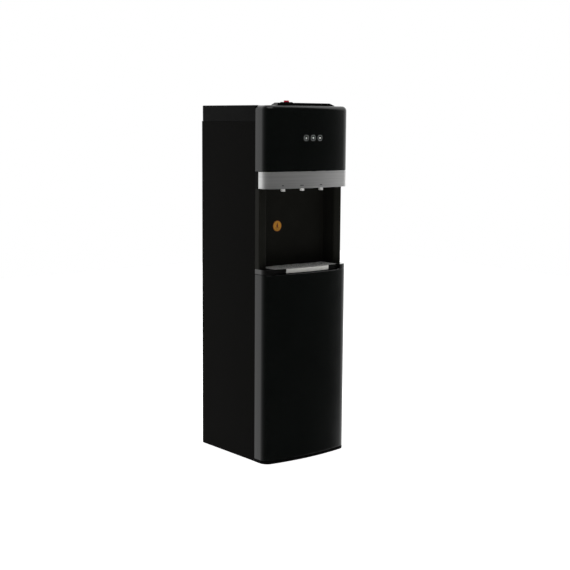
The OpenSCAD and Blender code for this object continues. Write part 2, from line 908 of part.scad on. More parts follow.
module probe_cap() {
  color("#f0f0ee") difference() {
    union() {
      post(probe_x, probe_y, cap_z, cap_z + cap_h, cap_r);
      post(probe_x, probe_y, clip_z + clip_t, clip_z + clip_t + 2, cap_flange_r);
      post(probe_x, probe_y, cap_z + cap_h, cap_z + cap_h + 6, hose_r + 2);
    }
    post(probe_x, probe_y, cap_z - cut, cap_z + cap_h - 3, cap_r - 2.5);
  }
}

module probe_tube() {
  top = cap_z + cap_h - 3;
  color("#e8e8e8") difference() {
    post(probe_x, probe_y, top - probe_len, top, tube_r);
    post(probe_x, probe_y, top - probe_len + 3, top - 2, tube_in);
    for (x = [0, 1]) translate([probe_x, probe_y, top - probe_len + 8]) rotate([90, 0, 90 * x])
      cylinder(h = 4 * tube_r, r = 2, center = true);
  }
}

module probe_clip() {
  color("#2b2b2b") {
    difference() {
      union() {
        post(probe_x, probe_y, clip_z, clip_z + clip_t, cap_flange_r + 1);
        span([-inner_x + fit_gap, probe_y - 14, clip_z], [probe_x, probe_y + 14, clip_z + clip_t]);
      }
      post(probe_x, probe_y, clip_z - cut, clip_z + clip_t + cut, cap_r + fit_gap);
      translate([probe_x, probe_y - cap_flange_r - 2, clip_z - cut])
        cube([body_w, cap_flange_r - 10, clip_t + 2 * cut]);
    }
    translate([-inner_x + fit_gap, probe_y - 14, clip_z + clip_t]) cube([2, 28, shelf_z - clip_z - clip_t]);
  }
}

module probe_hose() {
  inlet_z = shelf_top + 20;
  color("#e6e6e6") pipe([[probe_x, probe_y, cap_z + cap_h + 6], [probe_x, probe_y, inlet_z],
                         [probe_x, pump_y + pump_size[1] / 2 + 10, inlet_z]], hose_r);
}

module pump() {
  color("#3a3a3a") {
    translate([pump_x - pump_size[0] / 2, pump_y - pump_size[1] / 2, shelf_top]) cube(pump_size);
    post(pump_x, pump_y, shelf_top + pump_size[2], pump_top, motor_r);
    y_rod(pump_x, pump_y + pump_size[1] / 2, shelf_top + 20, 10, hose_r + 1);
    y_rod(pump_x + 18, pump_y + pump_size[1] / 2, shelf_top + 34, 10, hose_r + 1);
  }
}

// ---- Water tanks ----

module cup(x, y, z, h, outer, inner, floor_t) {
  difference() {
    post(x, y, z, z + h, outer);
    post(x, y, z + floor_t, z + h + cut, inner);
  }
}

module cold_tank() {
  color("#b8bcc0") cup(cold_x, tank_y, cold_z, cold_h, cold_r, cold_r - tank_wall, tank_wall);
}

module cold_tank_lid() {
  color("#e8e8e6") {
    post(cold_x, tank_y, cold_top, cold_top + lid_t, foam_r);
    post(cold_x, tank_y, cold_top - 60, cold_top, 4);
    post(cold_x, tank_y, cold_top - 62, cold_top - 60, cold_r - tank_wall - 3);
  }
}

module cold_tank_foam() {
  color("#f4f1e6") cup(cold_x, tank_y, tank_z, foam_floor + cold_h, foam_r, foam_in, foam_floor);
}

module evaporator_coil() {
  color("#b87333") translate([cold_x, tank_y, cold_z + 14])
    helix(coil_r, coil_tube_r, 2.6 * coil_tube_r, 7);
}

module hot_tank() {
  color("#b8bcc0") difference() {
    post(hot_x, tank_y, hot_z, hot_top, hot_r);
    post(hot_x, tank_y, hot_z + tank_wall, hot_top - tank_wall, hot_r - tank_wall);
  }
}

module hot_tank_jacket() {
  color("#d8d8d0") difference() {
    cup(hot_x, tank_y, tank_z, jacket_floor + hot_h, jacket_r, jacket_in, jacket_floor);
    post(hot_x, tank_y, tank_z - cut, hot_z + cut, hose_r + fit_gap);
  }
}

module heating_element() {
  rise = 80;
  color("#8a8a8a") {
    post(hot_x, tank_y, hot_z + tank_wall, hot_z + tank_wall + 3, 26);
    for (side = [-1, 1]) post(hot_x + side * 14, tank_y, hot_z + tank_wall + 3, hot_z + rise, 4);
    translate([hot_x, tank_y, hot_z + rise]) rotate([90, 0, 0])
      rotate_extrude(angle = 180) translate([14, 0]) circle(4);
  }
}

module drain_pipe() {
  low = tank_shelf_z - 12;
  color("#e6e6e6") {
    pipe([[hot_x, tank_y, hot_z], [hot_x, tank_y, low], [drain_x, recess_y - 16, low],
          [drain_x, recess_y - 16, fitting_z], [drain_x, recess_y, fitting_z]], hose_r);
    y_rod(drain_x, recess_y, fitting_z, spigot_len, spigot_r);
  }
}
module drain_cap() {
  color("#d03030") difference() {
    y_rod(drain_x, recess_y + 1, fitting_z, spigot_len + 5, spigot_r + 4);
    y_rod(drain_x, recess_y, fitting_z, spigot_len + 1 + fit_gap, spigot_r + fit_gap);
  }
}

// ---- Cooling ----

module compressor() {
  dome_r = comp_r + 24;
  shell_t = 4;
  mid = comp_z + comp_h / 2;
  module shell(r, dome, half_h) {
    intersection() {
      post(comp_x, comp_y, mid - half_h, mid + half_h, r);
      translate([comp_x, comp_y, mid]) sphere(dome);
    }
  }
  color("#141414") {
    difference() {
      shell(comp_r, dome_r, comp_h / 2);
      shell(comp_r - shell_t, dome_r - shell_t, comp_h / 2 - shell_t);
    }
    post(comp_x, comp_y, comp_z + shell_t - 1, mid + 30, 45);
    difference() {
      post(comp_x, comp_y, mid - 5, mid + 5, comp_r + 3);
      post(comp_x, comp_y, mid - 6, mid + 6, comp_r - 1);
    }
    translate([comp_x, comp_y, comp_z - plate_t / 2])
      cube([2 * mount_dx + 24, 2 * mount_dy + 24, plate_t], center = true);
    translate([comp_x - comp_r - 20, comp_y - 18, mid - 45]) cube([23, 36, 37]);
  }
}

module compressor_mounts() {
  color("#2a2a2a") for (dx = [-1, 1], dy = [-1, 1])
    post(comp_x + dx * mount_dx, comp_y + dy * mount_dy, shelf_top, shelf_top + mount_h, 9);
}

module condenser() {
  half_run = cond_w / 2 - bend_r;
  clip_x = half_run - 12;
  color("#101010") {
    for (i = [0 : cond_runs - 1]) x_rod(0, cond_y, cond_z + i * cond_pitch, 2 * half_run, cond_tube_r);
    for (i = [0 : cond_runs - 2]) {
      side = i % 2 == 0 ? 1 : -1;
      translate([side * half_run, cond_y, cond_z + (i + 0.5) * cond_pitch]) rotate([90, side * 90, 0])
        rotate_extrude(angle = 180) translate([bend_r, 0]) circle(cond_tube_r);
    }
    for (x = [-1, 1], z = [cond_z, cond_z + cond_h])
      span([x * clip_x - 7, recess_y, z - 1.5], [x * clip_x + 7, cond_y, z + 1.5]);
    for (i = [0 : wire_count - 1])
      post(-half_run + i * 2 * half_run / (wire_count - 1), cond_y + cond_tube_r + wire_r + 0.02,
           cond_z - 12, cond_z + cond_h + 12, wire_r);
  }
}

module refrigerant_lines() {
  back = recess_y - 14;
  color("#b87333") {
    pipe([[comp_x + 20, comp_y, comp_z + comp_h], [comp_x + 20, comp_y, comp_z + comp_h + 12],
          [cold_x + 10, back, comp_z + comp_h + 12], [cold_x + 10, back, tank_shelf_z + 30]], 3);
    pipe([[cold_x - 10, back, tank_shelf_z + 30], [cold_x - 10, back, fitting_z + 30],
          [0, back, fitting_z + 30]], 3);
  }
}

module control_box() {
  color("#e0e0dc") translate([-inner_x + fit_gap, -box_size[1] / 2, box_z]) cube(box_size);
}

module rear_fittings() {
  color("#1a1a1a") {
    for (side = [-1, 1]) difference() {
      translate([side * switch_dx, recess_y + 0.6, switch_z]) rotate([90, 0, 0])
        linear_extrude(18) difference() {
          square(switch_size, center = true);
          square([switch_size[0] - 2 * switch_wall, switch_size[1] - 2 * switch_wall], center = true);
        }
      x_rod(side * switch_dx, rocker_y, switch_z, 2 * switch_size[0], rocker_pin_r + pin_play);
    }
    y_rod(-drain_x, recess_y - 6, fitting_z, 12, gland_r);
    y_rod(-drain_x, recess_y + 6, fitting_z, 8, gland_r - 2);
  }
}

// Rocker of a switch, tipped to its off side about a pivot along X
module rocker(x) {
  w = switch_size[0] - 2 * switch_wall - 2 * fit_gap;
  h = switch_size[1] / 2 - 2.6;
  translate([0, rocker_y, switch_z]) rotate([-rocker_tilt, 0, 0]) along_x(x, w)
    polygon([[-3, -h], [5, -h], [3.4, 0], [5, h], [-3, h]]);
  x_rod(x, rocker_y, switch_z, switch_size[0] - 0.4, rocker_pin_r);
}
module heat_switch() { color("#c02020") rocker(-switch_dx); }
module cool_switch() { color("#1f8a3a") rocker(switch_dx); }

base_pan();
feet();
side_panel_left();
side_panel_right();
rear_panel_lower();
rear_panel_upper();
top_cover();
mid_shelf();
tank_shelf();
screws();
upper_front_panel();
indicator_lenses();
indicator_board();
silver_band();
spout_housing();
alcove_housing();
ledge_frame();
drip_tray();
tray_strip();
drip_grille();
door_skin();
door_liner();
door_magnet();
hinge_pins();
key_carrier();
key_axle();
key_hot();
key_room();
key_cold();
child_lock();
push_rod_hot();
push_rod_room();
push_rod_cold();
valve_hot();
valve_room();
valve_cold();
spouts();
probe_cap();
probe_tube();
probe_clip();
probe_hose();
pump();
water_hoses();
cold_tank();
cold_tank_lid();
cold_tank_foam();
evaporator_coil();
hot_tank();
hot_tank_jacket();
heating_element();
drain_pipe();
drain_cap();
compressor();
compressor_mounts();
condenser();
refrigerant_lines();
control_box();
rear_fittings();
heat_switch();
cool_switch();
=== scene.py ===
"""Looks of a tall water dispenser: bowed glossy front, brushed band, alcove with spouts, and press keys."""

import json
import math

import bmesh
import bpy
from bpy.props import FloatProperty, FloatVectorProperty, IntProperty, PointerProperty
from mathutils import Matrix, Vector


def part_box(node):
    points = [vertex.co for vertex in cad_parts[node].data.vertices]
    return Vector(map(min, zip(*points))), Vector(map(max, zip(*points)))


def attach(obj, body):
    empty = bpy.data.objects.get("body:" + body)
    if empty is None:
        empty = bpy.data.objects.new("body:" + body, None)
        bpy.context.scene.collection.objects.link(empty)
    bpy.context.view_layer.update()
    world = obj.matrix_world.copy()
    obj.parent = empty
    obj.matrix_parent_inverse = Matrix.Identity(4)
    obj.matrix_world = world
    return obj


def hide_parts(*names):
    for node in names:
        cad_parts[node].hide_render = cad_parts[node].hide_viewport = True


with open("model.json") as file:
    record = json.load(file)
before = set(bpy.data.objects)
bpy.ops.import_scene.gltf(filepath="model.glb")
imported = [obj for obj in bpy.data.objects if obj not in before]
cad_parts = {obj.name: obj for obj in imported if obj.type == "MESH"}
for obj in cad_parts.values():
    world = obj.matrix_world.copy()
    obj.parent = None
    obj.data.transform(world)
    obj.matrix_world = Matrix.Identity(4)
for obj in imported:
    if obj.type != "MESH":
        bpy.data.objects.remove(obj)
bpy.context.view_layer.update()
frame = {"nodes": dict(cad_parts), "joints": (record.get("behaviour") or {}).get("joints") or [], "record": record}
NODES = frame["nodes"]
BODIES = frame["record"]["behaviour"]["bodies"]
BODY_OF = {node: body for body, members in BODIES.items() for node in members}
SLOT_OF = {row["node"]: row["material_slot"] for row in frame["record"]["subparts"]}

bl_info = {
    "name": "Water dispenser looks",
    "version": (1, 0, 0),
    "blender": (4, 5, 0),
    "location": "View3D > Sidebar > Dispenser",
    "description": "Builds the visible pieces and finishes of a tall water dispenser around its CAD frame",
    "category": "Object",
}

MM = 0.001
SAME_PLACE = 1e-6
FLAT_WITHIN = math.radians(0.6)
SHARP_ABOVE = math.radians(38)


# ---- Places worked out from the frame ----


def low(node):
    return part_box(node)[0]


def high(node):
    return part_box(node)[1]


HALF_W = high("upper_front_panel").x
FRONT_Y = low("upper_front_panel").y
ALCOVE_BACK_Y = high("alcove_housing").y - 2.5 * MM


class Plan:
    """Plan outline of the moulded front: a wide bow blended into two round corners and straight sides."""

    def __init__(self, half_w, front_y, bow_r, corner_r):
        self.half_w = half_w
        self.front_y = front_y
        self.bow_r = bow_r
        self.corner_r = corner_r
        self.corner_x = half_w - corner_r
        self.bow_y = front_y + bow_r
        self.corner_y = self.bow_y - math.sqrt((bow_r - corner_r) ** 2 - self.corner_x**2)
        self.bow_angle = math.atan2(self.corner_x, self.bow_y - self.corner_y)

    def points(self, inset, back_y, bow_steps=48, corner_steps=12):
        """Points from the left back round the front to the right back, set in by inset."""
        left = []
        corner_r = self.corner_r - inset
        for i in range(corner_steps + 1):
            angle = math.pi - i / corner_steps * (math.pi / 2 - self.bow_angle)
            across, along = corner_r * math.cos(angle), corner_r * math.sin(angle)
            left.append((across - self.corner_x, self.corner_y - along))
        bow = []
        for i in range(1, bow_steps):
            angle = self.bow_angle * (2 * i / bow_steps - 1)
            bow.append(
                (
                    (self.bow_r - inset) * math.sin(angle),
                    self.bow_y - (self.bow_r - inset) * math.cos(angle),
                )
            )
        right = [(-x, y) for x, y in reversed(left)]
        side = self.half_w - inset
        return [(-side, back_y)] + left + bow + right + [(side, back_y)]


# ---- Mesh helpers ----


def new_piece(name, bm, material):
    """Turns a bmesh into a named object with one material and smooth shading."""
    mesh = bpy.data.meshes.new(name)
    bmesh.ops.recalc_face_normals(bm, faces=bm.faces)
    bm.to_mesh(mesh)
    bm.free()
    piece = bpy.data.objects.new(name, mesh)
    bpy.context.scene.collection.objects.link(piece)
    mesh.materials.append(material)
    smooth(piece)
    return piece


def smooth(piece, angle=35):
    mesh = piece.data
    mesh.polygons.foreach_set("use_smooth", [True] * len(mesh.polygons))
    mesh.set_sharp_from_angle(angle=math.radians(angle))


def claim(piece, node):
    """The piece stands for a CAD node: it rides on its body, and the node is hidden."""
    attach(piece, BODY_OF[node])
    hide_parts(node)
    return piece


def bevel(piece, width):
    """Rounds the marked edges of a piece."""
    modifier = piece.modifiers.new("Edge rounding", "BEVEL")
    modifier.width = width
    modifier.segments = 2
    modifier.limit_method = "WEIGHT"
    modifier.use_clamp_overlap = True
    apply_modifiers(piece)


def apply_modifiers(piece):
    evaluated = piece.evaluated_get(bpy.context.evaluated_depsgraph_get())
    mesh = bpy.data.meshes.new_from_object(evaluated)
    piece.modifiers.clear()
    piece.data = mesh


def rounded_copy(node, material, width):
    """A copy of a CAD node with its facets joined into faces and its outer edges rounded."""
    bm = bmesh.new()
    bm.from_mesh(NODES[node].data)
    bmesh.ops.remove_doubles(bm, verts=bm.verts, dist=SAME_PLACE)
    bmesh.ops.dissolve_limit(
        bm, angle_limit=FLAT_WITHIN, verts=bm.verts, edges=bm.edges, delimit={"NORMAL"}
    )
    weight = bm.edges.layers.float.new("bevel_weight_edge")
    for edge in bm.edges:
        edge[weight] = float(edge.is_manifold and edge.calc_face_angle_signed() > SHARP_ABOVE)
    piece = new_piece(f"{node}_moulding", bm, material)
    bevel(piece, width)
    smooth(piece, 50)
    flat = piece.modifiers.new("Flat faces", "WEIGHTED_NORMAL")
    flat.keep_sharp = True
    apply_modifiers(piece)
    return claim(piece, node)


def swept_section(plan, section, back_y):
    """Sweeps a closed (inset, z) section round the plan outline, and caps its two ends."""
    bm = bmesh.new()
    columns = [plan.points(inset, back_y) for inset, _ in section]
    count = len(columns[0])
    grid = []
    for column, (_, z) in zip(columns, section):
        grid.append([bm.verts.new((x, y, z)) for x, y in column])
    for row, following in zip(grid, grid[1:] + grid[:1]):
        for i in range(count - 1):
            bm.faces.new((row[i], row[i + 1], following[i + 1], following[i]))
    for i in (0, count - 1):
        bm.faces.new([row[i] for row in grid])
    return bm


# ---- Shader maths ----


class Value:
    """A number or a node socket, so that shader maths reads as Python expressions."""

    def __init__(self, shader, socket):
        self.shader = shader
        self.socket = socket

    def maths(self, operation, *others):
        values = {0: self}
        values.update({i + 1: other for i, other in enumerate(others)})
        return self.shader.node("ShaderNodeMath", {"operation": operation}, values)

    def __add__(self, other):
        return self.maths("ADD", other)

    def __sub__(self, other):
        return self.maths("SUBTRACT", other)

    def __rsub__(self, other):
        return self.shader.node("ShaderNodeMath", {"operation": "SUBTRACT"}, {0: other, 1: self})

    def __mul__(self, other):
        return self.maths("MULTIPLY", other)

    __radd__ = __add__
    __rmul__ = __mul__

    def power(self, other):
        return self.maths("POWER", other)


class Shader:
    """Builds one material's node tree."""

    def __init__(self, name, **constants):
        self.material = bpy.data.materials.new(name)
        self.material.use_nodes = True
        self.tree = self.material.node_tree
        self.tree.nodes.clear()
        self.output = self.tree.nodes.new("ShaderNodeOutputMaterial")
        self.surface = self.tree.nodes.new("ShaderNodeBsdfPrincipled")
        self.tree.links.new(self.surface.outputs[0], self.output.inputs["Surface"])
        for socket, value in constants.items():
            self.surface.inputs[socket.replace("_", " ")].default_value = value

    def node(self, kind, settings=None, sockets=None, output=0):
        """Adds a node: its settings first, then the values or links of its sockets."""
        made = self.tree.nodes.new(kind)
        for key, value in (settings or {}).items():
            if key == "stops":
                for element, (position, colour) in zip(self.stops(made, len(value)), value):
                    element.position = position
                    element.color = colour
            else:
                setattr(made, key, value)
        for key, value in (sockets or {}).items():
            if isinstance(value, Value):
                self.tree.links.new(value.socket, made.inputs[key])
            else:
                made.inputs[key].default_value = value
        return Value(self, made.outputs[output])

    @staticmethod
    def stops(made, count):
        elements = made.color_ramp.elements
        while len(elements) < count:
            elements.new(1.0)
        return elements

    def link(self, socket, value):
        self.tree.links.new(value.socket, self.surface.inputs[socket])

    def place(self, scale=(1, 1, 1), rotation=(0, 0, 0)):
        coordinates = self.node("ShaderNodeTexCoord", output=3)
        return self.node(
            "ShaderNodeMapping", None, {"Vector": coordinates, "Scale": scale, "Rotation": rotation}
        )

    def noise(self, scale, detail=4.0, roughness=0.5, stretch=(1, 1, 1), rotation=(0, 0, 0)):
        place = self.place(stretch, rotation)
        return self.node(
            "ShaderNodeTexNoise",
            None,
            {"Vector": place, "Scale": scale, "Detail": detail, "Roughness": roughness},
        )

    def range(self, value, low_in, high_in, low_out, high_out):
        return self.node(
            "ShaderNodeMapRange",
            {"clamp": True},
            {0: value, 1: low_in, 2: high_in, 3: low_out, 4: high_out},
        )

    def mix(self, factor, first, second):
        return self.node(
            "ShaderNodeMix", {"data_type": "RGBA"}, {0: factor, 6: first, 7: second}, output=2
        )

    def bump(self, height, strength, distance):
        normal = self.node(
            "ShaderNodeBump", None, {"Height": height, "Strength": strength, "Distance": distance}
        )
        self.link("Normal", normal)
        return normal


class Room(Shader):
    """Builds the glow of the studio's air."""

    def __init__(self, world):
        self.tree = world.node_tree
        self.tree.nodes.clear()

    def direction(self):
        """How far a direction points behind the object, and to its right."""
        place = self.node("ShaderNodeTexCoord")
        return tuple(self.node("ShaderNodeSeparateXYZ", None, {0: place}, output=i) for i in (1, 0))

    def glow(self, strength):
        return self.node("ShaderNodeBackground", None, {"Color": (1, 1, 1, 1), "Strength": strength})

    def blend(self, factor, first, second):
        return self.node("ShaderNodeMixShader", None, {0: factor, 1: first, 2: second})

    def seen_by_camera(self):
        return self.node("ShaderNodeLightPath")

    def finish(self, glow):
        output = self.tree.nodes.new("ShaderNodeOutputWorld")
        self.tree.links.new(glow.socket, output.inputs["Surface"])


def rgba(colour):
    return (*tuple(colour)[:3], 1.0)


def wear_mask(shader, scale, amount):
    """Soft patches where handling has dulled or polished a surface."""
    return shader.range(shader.noise(scale, 6.0, 0.65), 0.5 - amount, 0.5 + amount, 0.0, 1.0)


def gloss_moulding(name, colour, roughness=0.12, peel=0.15, level=0.5, glow=0.0):
    """Glossy injection moulding: faint orange peel, dust-dulled patches and hairline scratches."""
    shader = Shader(
        name, Metallic=0.0, Specular_IOR_Level=level, Emission_Color=(1, 1, 1, 1), Emission_Strength=glow
    )
    patches = wear_mask(shader, 9.0, 0.25)
    hairs = shader.range(shader.noise(34.0, 8.0, 0.7, (1, 1, 14), (0.3, 0.2, 0.5)), 0.62, 0.7, 0.0, 1.0)
    tint = shader.mix(patches, rgba(colour), rgba([c * 1.3 + 0.0005 for c in colour]))
    shader.link("Base Color", tint)
    shader.link("Roughness", patches * 0.05 + hairs * 0.05 + roughness)
    shader.bump(shader.noise(420.0, 2.0, 0.5), peel, 0.0002)
    return shader.material


def grained_moulding(name, colour, roughness=0.42, grain=0.35, scale=900.0, level=0.4):
    """Fine-textured moulded plastic with handling wear."""
    shader = Shader(name, Metallic=0.0, Specular_IOR_Level=level)
    speckle = shader.noise(scale, 3.0, 0.6)
    patches = wear_mask(shader, 14.0, 0.2)
    tint = shader.mix(patches, rgba(colour), rgba([c * 1.25 + 0.001 for c in colour]))
    shader.link("Base Color", tint)
    shader.link("Roughness", roughness + speckle * 0.12 - patches * 0.08)
    shader.bump(speckle, grain, 0.0003)
    return shader.material


def painted_steel(name, colour, roughness=0.35, level=0.35):
    """Powder-coated sheet steel: fine pebble, slow waviness of the sheet and rubbed patches."""
    shader = Shader(name, Metallic=0.0, Specular_IOR_Level=level)
    pebble = shader.noise(700.0, 2.0, 0.5)
    sheet = shader.noise(3.0, 2.0, 0.4)
    rubbed = wear_mask(shader, 6.0, 0.3)
    tint = shader.mix(rubbed, rgba(colour), rgba([c * 1.4 + 0.0003 for c in colour]))
    shader.link("Base Color", tint)
    shader.link("Roughness", roughness + rubbed * 0.1 + pebble * 0.06)
    shader.bump(pebble * 0.2 + sheet, 0.25, 0.0006)
    return shader.material


def brushed_metal(name, colour, stretch, roughness=0.3, streak=0.35, metallic=1.0):
    """Brushed metal: long fine streaks along one direction, with faint smudges."""
    shader = Shader(name, Metallic=metallic)
    lines = shader.noise(60.0, 6.0, 0.7, stretch)
    smudge = wear_mask(shader, 11.0, 0.25)
    bright = shader.range(lines, 0.3, 0.7, 0.0, 1.0)
    tint = shader.mix(bright, rgba([c * (1 - streak * 0.35) for c in colour]), rgba(colour))
    shader.link("Base Color", tint)
    shader.link("Roughness", roughness + lines * 0.18 + smudge * 0.06)
    shader.bump(lines, streak, 0.0001)
    return shader.material


def plain_metal(name, colour, roughness=0.35, metallic=1.0):
    """Rolled or drawn metal with mottled tarnish."""
    shader = Shader(name, Metallic=metallic)
    mottle = shader.noise(80.0, 5.0, 0.6)
    bright = shader.range(mottle, 0.35, 0.7, 0.0, 1.0)
    tint = shader.mix(bright, rgba([c * 0.75 for c in colour]), rgba(colour))
    shader.link("Base Color", tint)
    shader.link("Roughness", roughness + mottle * 0.15)
    shader.bump(mottle, 0.1, 0.0002)
    return shader.material


def foam(name, colour):
    """Sprayed insulating foam with open cells, each cell's pit painted darker as shade."""
    shader = Shader(name, Metallic=0.0, Roughness=0.9)
    cells = shader.node(
        "ShaderNodeTexVoronoi", None, {"Vector": shader.place(), "Scale": 260.0}
    )
    # Painted shade: the colour darkens towards the middle of each cell, where the bump sinks into a pit.
    unshaded_cell_rims = shader.range(cells, 0.0, 0.6, 0.0, 1.0)
    tint = shader.mix(unshaded_cell_rims, rgba([c * 0.7 for c in colour]), rgba(colour))
    shader.link("Base Color", tint)
    shader.bump(cells, 0.5, 0.0008)
    return shader.material


def silicone(name, colour):
    """Milky silicone tube with faint extrusion lines."""
    shader = Shader(name, Metallic=0.0, Subsurface_Weight=0.2, Subsurface_Radius=(0.004, 0.004, 0.004))
    lines = shader.noise(120.0, 3.0, 0.5)
    shader.link("Base Color", shader.mix(lines, rgba([c * 0.85 for c in colour]), rgba(colour)))
    shader.link("Roughness", 0.35 + lines * 0.2)
    shader.bump(lines, 0.1, 0.0002)
    return shader.material


# ---- Settings a user may change ----


class DispenserSizes(bpy.types.PropertyGroup):
    """Sizes of the detail that the looks add to the frame."""

    bow_radius: FloatProperty(
        name="Bow radius",
        description="Plan radius of the bowed front",
        default=775 * MM,
        subtype="DISTANCE",
    )
    corner_radius: FloatProperty(
        name="Corner radius",
        description="Plan radius of the front corners",
        default=27 * MM,
        subtype="DISTANCE",
    )
    wall: FloatProperty(
        name="Wall",
        description="Thickness of the moulded walls",
        default=2.5 * MM,
        subtype="DISTANCE",
    )
    panel_edge: FloatProperty(
        name="Panel edge",
        description="Rounding of the top edge of the upper panel",
        default=14 * MM,
        subtype="DISTANCE",
    )
    door_edge: FloatProperty(
        name="Door edge",
        description="Rounding of the top and bottom edges of the door",
        default=2.2 * MM,
        subtype="DISTANCE",
    )
    band_edge: FloatProperty(
        name="Band edge",
        description="Rounding of the edges of the silver band",
        default=0.5 * MM,
        subtype="DISTANCE",
    )
    label_radius: FloatProperty(
        name="Label radius",
        description="Radius of the hot-water label",
        default=16.3 * MM,
        subtype="DISTANCE",
    )
    symbol_height: FloatProperty(
        name="Symbol height",
        description="Height of the symbols in the indicator lenses",
        default=5.2 * MM,
        subtype="DISTANCE",
    )
    smooth_steps: IntProperty(
        name="Rounding steps", description="Facets across each rounded edge", default=6, min=2, max=16
    )


class DispenserColours(bpy.types.PropertyGroup):
    """Colours of the visible finishes."""

    front: FloatVectorProperty(
        name="Front",
        description="Glossy front panels",
        default=(0.0017, 0.0023, 0.0020),
        subtype="COLOR",
    )
    steel: FloatVectorProperty(
        name="Steel sides",
        description="Painted steel sides",
        default=(0.0015, 0.0014, 0.0011),
        subtype="COLOR",
    )
    alcove: FloatVectorProperty(
        name="Alcove",
        description="Alcove walls",
        default=(0.0092, 0.0092, 0.0078),
        subtype="COLOR",
    )
    trim: FloatVectorProperty(
        name="Trim",
        description="Black moulded trim",
        default=(0.0026, 0.0026, 0.0025),
        subtype="COLOR",
    )
    band: FloatVectorProperty(
        name="Band",
        description="Brushed silver band",
        default=(0.58, 0.58, 0.575),
        subtype="COLOR",
    )
    label: FloatVectorProperty(
        name="Label",
        description="Hot-water label",
        default=(0.50, 0.22, 0.012),
        subtype="COLOR",
    )
    lock: FloatVectorProperty(
        name="Child lock",
        description="Child lock on the hot key",
        default=(0.62, 0.02, 0.05),
        subtype="COLOR",
    )


MATERIALS = {}


def finish(slot, colours):
    """The material of a slot, made once."""
    if slot not in MATERIALS:
        MATERIALS[slot] = FINISHES[slot](colours)
    return MATERIALS[slot]


FINISHES = {
    "black_steel": lambda c: painted_steel("Black painted steel", c.steel, 0.4, 0.01),
    "back_steel": lambda c: painted_steel("Matt back steel", (0.010, 0.010, 0.010), 0.5, 0.3),
    "zinc_steel": lambda c: plain_metal("Zinc-plated steel", (0.52, 0.54, 0.56), 0.32),
    "gloss_front": lambda c: gloss_moulding("Glossy black front", c.front, 0.16, 0.03, 0.3),
    "black_plastic": lambda c: grained_moulding(
        "Black trim moulding", c.trim, 0.36, 0.2, 900.0, 0.012
    ),
    "alcove_plastic": lambda c: gloss_moulding("Alcove moulding", c.alcove, 0.2, 0.06, 0.02),
    "silver_band": lambda c: brushed_metal(
        "Brushed silver band", c.band, (0.08, 0.08, 7), 0.4, 0.8, 0.86
    ),
    "grille_steel": lambda c: brushed_metal(
        "Stainless grille", (0.90, 0.90, 0.87), (1, 9, 1), 0.16, 1.6, 0.35
    ),
    "strip_metal": lambda c: brushed_metal(
        "Satin tray strip", (0.86, 0.86, 0.81), (0.6, 0.6, 26), 0.4, 0.2, 0.5
    ),
    "spout_plastic": lambda c: grained_moulding(
        "Light grey spout", (0.60, 0.60, 0.58), 0.28, 0.1, 600.0, 0.5
    ),
    "lens_clear": lambda c: gloss_moulding(
        "Smoked indicator lens", (0.003, 0.004, 0.004), 0.1, 0.03, 0.3
    ),
    "red_plastic": lambda c: gloss_moulding("Red moulding", c.lock, 0.22, 0.08, 0.5),
    "green_plastic": lambda c: gloss_moulding(
        "Green moulding", (0.01, 0.22, 0.05), 0.25, 0.08, 0.5
    ),
    "grey_plastic": lambda c: grained_moulding(
        "Dark grey moulding", (0.035, 0.035, 0.036), 0.5, 0.3, 800.0
    ),
    "white_plastic": lambda c: grained_moulding(
        "White moulding", (0.72, 0.72, 0.69), 0.4, 0.2, 700.0
    ),
    "valve_plastic": lambda c: grained_moulding(
        "Natural valve moulding", (0.66, 0.62, 0.54), 0.38, 0.2, 700.0
    ),
    "silicone": lambda c: silicone("Milky silicone", (0.70, 0.70, 0.68)),
    "rubber_black": lambda c: grained_moulding(
        "Black rubber", (0.012, 0.012, 0.012), 0.7, 0.5, 1100.0, 0.25
    ),
    "stainless_tank": lambda c: brushed_metal(
        "Spun stainless", (0.58, 0.59, 0.60), (1, 1, 20), 0.3, 0.3
    ),
    "foam": lambda c: foam("Insulating foam", (0.80, 0.74, 0.55)),
    "copper": lambda c: plain_metal("Copper tube", (0.70, 0.33, 0.18), 0.3),
    "board": lambda c: gloss_moulding("Green circuit board", (0.01, 0.12, 0.04), 0.35, 0.1, 0.5),
    "magnet": lambda c: grained_moulding("Ferrite magnet", (0.03, 0.03, 0.03), 0.55, 0.4, 900.0),
    "cast_black": lambda c: painted_steel("Black enamel", (0.008, 0.008, 0.008), 0.28, 0.45),
}


def quarter_turn(steps):
    return [math.pi / 2 * i / steps for i in range(steps + 1)]


def rounded_face(bottom, top, low_edge, high_edge, turn):
    """Upright face in (inset, z), from its lower rounded edge to its upper one."""
    foot = [(low_edge - math.sin(a) * low_edge, bottom + low_edge - math.cos(a) * low_edge) for a in turn]
    head = [(high_edge - math.cos(a) * high_edge, top - high_edge + math.sin(a) * high_edge) for a in turn]
    return foot + head


def shell_section(bottom, top, roof_inset, sizes, low_edge, high_edge, floor_inset=None):
    """Closed (inset, z) section of a moulded wall with a rounded top return and a rounded foot."""
    wall = sizes.wall
    turn = quarter_turn(sizes.smooth_steps)
    section = rounded_face(bottom, top, low_edge, high_edge, turn)
    section += [(roof_inset, top), (roof_inset, top - wall)]
    inner = high_edge - wall
    if inner > 0:
        centre_z = top - high_edge
        section += [(high_edge - math.cos(a) * inner, centre_z + math.sin(a) * inner) for a in turn[::-1]]
    else:
        section += [(wall, top - wall)]
    if floor_inset is None:
        return section + [(wall, bottom)]
    return section + [(wall, bottom + wall), (floor_inset, bottom + wall), (floor_inset, bottom)]


class MakesPiece:
    """Shared by the operators: the settings and the plan outline."""

    bl_options = {"REGISTER", "UNDO"}

    @property
    def sizes(self):
        return bpy.context.scene.dispenser_sizes

    @property
    def colours(self):
        return bpy.context.scene.dispenser_colours

    @property
    def plan(self):
        return Plan(HALF_W, FRONT_Y, self.sizes.bow_radius, self.sizes.corner_radius)

    def material(self, node):
        return finish(SLOT_OF[node], self.colours)


